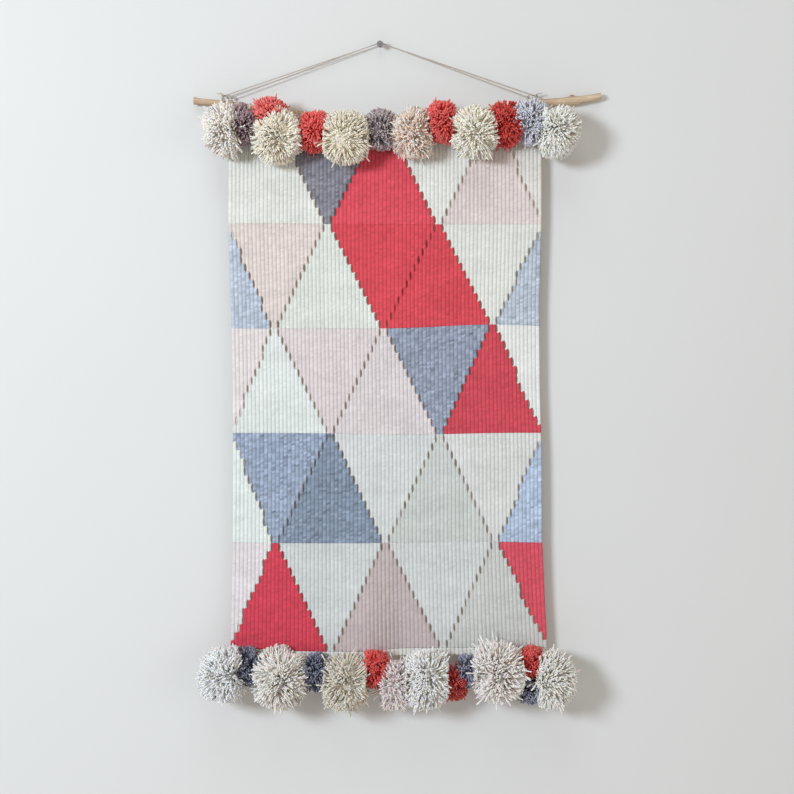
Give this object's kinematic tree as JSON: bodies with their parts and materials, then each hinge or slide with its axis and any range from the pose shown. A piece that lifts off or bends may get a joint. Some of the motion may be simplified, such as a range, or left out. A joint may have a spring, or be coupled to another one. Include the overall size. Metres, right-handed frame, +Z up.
{
  "type": "tapestry wall hanging",
  "caption": "Woven wall hanging of triangles in slit tapestry on a bare stick, with pom-poms along its top and hem, hung from a nail by a doubled cord.",
  "frame": {"origin": "on the nail's axis, where the nail enters the wall", "axes": "+X to the viewer's right along the wall, +Y into the wall, +Z up"},
  "size_m": [0.45, 0.0911, 0.7344],
  "materials": {
    "nail_steel": "dull zinc-plated wire, slightly worn",
    "twine": "thin two-ply twine, matt, slightly hairy",
    "stick_wood": "bare weathered branch, fine cracks along it, no varnish",
    "warp_cotton": "smooth plied cotton warp, matt",
    "yarn_cream": "matt wool weft beaten into even ribs",
    "yarn_blush": "matt wool weft beaten into even ribs",
    "yarn_coral": "matt wool weft beaten into even ribs",
    "yarn_grey": "matt wool weft beaten into even ribs, slightly mottled",
    "yarn_pale_grey": "matt wool weft beaten into even ribs",
    "pom_cream": "cut plied yarn, pale fluffy tips, shadowed core",
    "pom_blush": "cut plied yarn, pale fluffy tips, some long ends",
    "pom_red": "dense cut yarn, matt",
    "pom_grey": "cut heather yarn with light tips",
    "pom_dark_grey": "cut heather yarn, blue-violet cast, light tips"
  },
  "bodies": {
    "nail": {"wall_nail": "nail_steel"},
    "cord": {"hanging_cord_a": "twine", "hanging_cord_b": "twine", "stick_knots": "twine"},
    "row_1": {"stick": "stick_wood", "warp_loops": "warp_cotton", "header_band": "yarn_cream", "row_1_cream": "yarn_cream", "row_1_grey": "yarn_grey", "row_1_coral": "yarn_coral", "row_1_blush": "yarn_blush", "row_1_warps": "warp_cotton", "pom_top_01_cream": "pom_cream", "pom_top_02_grey": "pom_grey", "pom_top_03_red": "pom_red", "pom_top_04_cream": "pom_cream", "pom_top_05_red": "pom_red", "pom_top_06_cream": "pom_cream", "pom_top_07_grey": "pom_grey", "pom_top_08_blush": "pom_blush", "pom_top_09_red": "pom_red", "pom_top_10_cream": "pom_cream", "pom_top_11_red": "pom_red", "pom_top_12_grey": "pom_grey", "pom_top_13_cream": "pom_cream"},
    "row_2": {"row_2_pale_grey": "yarn_pale_grey", "row_2_blush": "yarn_blush", "row_2_cream": "yarn_cream", "row_2_coral": "yarn_coral", "row_2_warps": "warp_cotton"},
    "row_3": {"row_3_blush": "yarn_blush", "row_3_cream": "yarn_cream", "row_3_grey": "yarn_grey", "row_3_coral": "yarn_coral", "row_3_warps": "warp_cotton"},
    "row_4": {"row_4_cream": "yarn_cream", "row_4_grey": "yarn_grey", "row_4_pale_grey": "yarn_pale_grey", "row_4_warps": "warp_cotton"},
    "row_5": {"row_5_blush": "yarn_blush", "row_5_coral": "yarn_coral", "row_5_cream": "yarn_cream", "row_5_warps": "warp_cotton", "hem_band": "yarn_cream", "pom_hem_02_dark_grey": "pom_dark_grey", "pom_hem_04_dark_grey": "pom_dark_grey", "pom_hem_06_red": "pom_red", "pom_hem_09_red": "pom_red", "pom_hem_10_dark_grey": "pom_dark_grey", "pom_hem_12_red": "pom_red", "pom_hem_13_dark_grey": "pom_dark_grey"},
    "hem_pom_1": {"pom_hem_01_cream": "pom_cream"},
    "hem_pom_3": {"pom_hem_03_cream": "pom_cream"},
    "hem_pom_5": {"pom_hem_05_cream": "pom_cream"},
    "hem_pom_7": {"pom_hem_07_blush": "pom_blush"},
    "hem_pom_8": {"pom_hem_08_cream": "pom_cream"},
    "hem_pom_11": {"pom_hem_11_blush": "pom_blush"},
    "hem_pom_14": {"pom_hem_14_cream": "pom_cream"}
  },
  "joints": [
    {"name": "swing_on_nail", "type": "hinge", "parent": "nail", "child": "cord", "pos_m": [0, 0, 0], "axis": [0, 1, 0], "range_deg": [-10, 10]},
    {"name": "lift_off_wall", "type": "hinge", "parent": "cord", "child": "row_1", "pos_m": [0, -0.0068, -0.0663], "axis": [-1, 0, 0], "range_deg": [0, 35]},
    {"name": "fold_above_row_2", "type": "hinge", "parent": "row_1", "child": "row_2", "pos_m": [0, -0.016, -0.2002], "axis": [-1, 0, 0], "range_deg": [0, 35]},
    {"name": "fold_above_row_3", "type": "hinge", "parent": "row_2", "child": "row_3", "pos_m": [0, -0.016, -0.3146], "axis": [-1, 0, 0], "range_deg": [0, 35]},
    {"name": "fold_above_row_4", "type": "hinge", "parent": "row_3", "child": "row_4", "pos_m": [0, -0.016, -0.4296], "axis": [-1, 0, 0], "range_deg": [0, 35]},
    {"name": "fold_above_row_5", "type": "hinge", "parent": "row_4", "child": "row_5", "pos_m": [0, -0.016, -0.5506], "axis": [-1, 0, 0], "range_deg": [0, 35]},
    {"name": "dangle_hem_pom_1", "type": "hinge", "parent": "row_5", "child": "hem_pom_1", "pos_m": [-0.166, -0.0162, -0.661], "axis": [-1, 0, 0], "range_deg": [0, 30]},
    {"name": "dangle_hem_pom_3", "type": "hinge", "parent": "row_5", "child": "hem_pom_3", "pos_m": [-0.109, -0.0162, -0.6605], "axis": [-1, 0, 0], "range_deg": [0, 30]},
    {"name": "dangle_hem_pom_5", "type": "hinge", "parent": "row_5", "child": "hem_pom_5", "pos_m": [-0.038, -0.0162, -0.669], "axis": [-1, 0, 0], "range_deg": [0, 30]},
    {"name": "dangle_hem_pom_7", "type": "hinge", "parent": "row_5", "child": "hem_pom_7", "pos_m": [0.0165, -0.0162, -0.6775], "axis": [-1, 0, 0], "range_deg": [0, 30]},
    {"name": "dangle_hem_pom_8", "type": "hinge", "parent": "row_5", "child": "hem_pom_8", "pos_m": [0.051, -0.0162, -0.6635], "axis": [-1, 0, 0], "range_deg": [0, 30]},
    {"name": "dangle_hem_pom_11", "type": "hinge", "parent": "row_5", "child": "hem_pom_11", "pos_m": [0.1305, -0.0162, -0.6555], "axis": [-1, 0, 0], "range_deg": [0, 30]},
    {"name": "dangle_hem_pom_14", "type": "hinge", "parent": "row_5", "child": "hem_pom_14", "pos_m": [0.1835, -0.0162, -0.665], "axis": [-1, 0, 0], "range_deg": [0, 30]}
  ]
}
